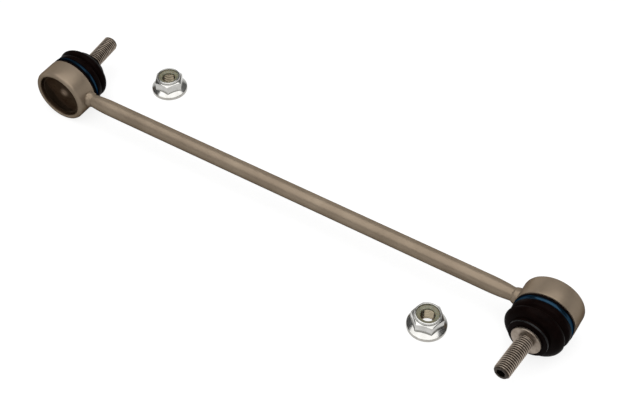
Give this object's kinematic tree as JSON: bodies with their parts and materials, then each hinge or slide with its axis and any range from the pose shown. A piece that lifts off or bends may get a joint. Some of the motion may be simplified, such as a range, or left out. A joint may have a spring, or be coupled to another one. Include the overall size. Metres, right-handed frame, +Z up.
{
  "type": "stabilizer link",
  "caption": "Straight stabilizer link: a rod with a sealed ball joint welded to each end, threaded studs pointing to opposite sides, and loose flanged lock nuts.",
  "frame": {"origin": "middle of the rod, on its axis", "axes": "+X along the rod from the far to the near end, +Y the way the far stud points, +Z up from the surface that the link lies on"},
  "size_m": [0.3786, 0.1141, 0.0368],
  "materials": {
    "coated_steel": "satin",
    "cap_steel": "semi-gloss",
    "bearing_plastic": "satin",
    "stud_steel": "satin",
    "boot_rubber": "matte",
    "clamp_ring": "satin",
    "spring_wire": "satin",
    "zinc_steel": "semi-gloss",
    "nylon": "satin"
  },
  "bodies": {
    "link": {"rod": "coated_steel", "far_weld": "coated_steel", "far_housing": "coated_steel", "far_end_cap": "cap_steel", "far_bearing_shell": "bearing_plastic", "near_weld": "coated_steel", "near_housing": "coated_steel", "near_end_cap": "cap_steel", "near_bearing_shell": "bearing_plastic"},
    "far_boot_base": {"far_boot": "boot_rubber", "far_boot_clamp_ring": "clamp_ring"},
    "far_boot_neck": {"far_neck_ring": "spring_wire"},
    "far_stud": {"far_ball_stud": "stud_steel"},
    "far_nut": {"far_flange_nut": "zinc_steel", "far_nut_insert": "nylon"},
    "near_boot_base": {"near_boot": "boot_rubber", "near_boot_clamp_ring": "clamp_ring"},
    "near_boot_neck": {"near_neck_ring": "spring_wire"},
    "near_stud": {"near_ball_stud": "stud_steel"},
    "near_nut": {"near_flange_nut": "zinc_steel", "near_nut_insert": "nylon"}
  },
  "joints": [
    {"name": "far_stud_swivel", "type": "hinge", "parent": "link", "child": "far_boot_base", "pos_m": [-0.1705, 0.0026, 0], "axis": [0, 1, 0], "continuous": true},
    {"name": "far_stud_tilt", "type": "hinge", "parent": "far_boot_base", "child": "far_boot_neck", "pos_m": [-0.1705, 0.0026, 0], "axis": [0, 0, 1], "range_deg": [-30, 20], "deforming": ["far_boot"]},
    {"name": "far_stud_spin", "type": "hinge", "parent": "far_boot_neck", "child": "far_stud", "pos_m": [-0.1705, 0.0026, 0], "axis": [-0.0872, 0.9962, 0], "continuous": true},
    {"name": "far_nut_lift", "type": "slide", "parent": "link", "child": "far_nut", "axis": [0, 0, 1], "range_m": [0, 0.04]},
    {"name": "near_stud_swivel", "type": "hinge", "parent": "link", "child": "near_boot_base", "pos_m": [0.1705, -0.0026, 0], "axis": [0, -1, 0], "continuous": true},
    {"name": "near_stud_tilt", "type": "hinge", "parent": "near_boot_base", "child": "near_boot_neck", "pos_m": [0.1705, -0.0026, 0], "axis": [0, 0, 1], "range_deg": [-20, 30], "deforming": ["near_boot"]},
    {"name": "near_stud_spin", "type": "hinge", "parent": "near_boot_neck", "child": "near_stud", "pos_m": [0.1705, -0.0026, 0], "axis": [-0.0872, -0.9962, 0], "continuous": true},
    {"name": "near_nut_lift", "type": "slide", "parent": "link", "child": "near_nut", "axis": [0, 0, 1], "range_m": [0, 0.04]}
  ]
}
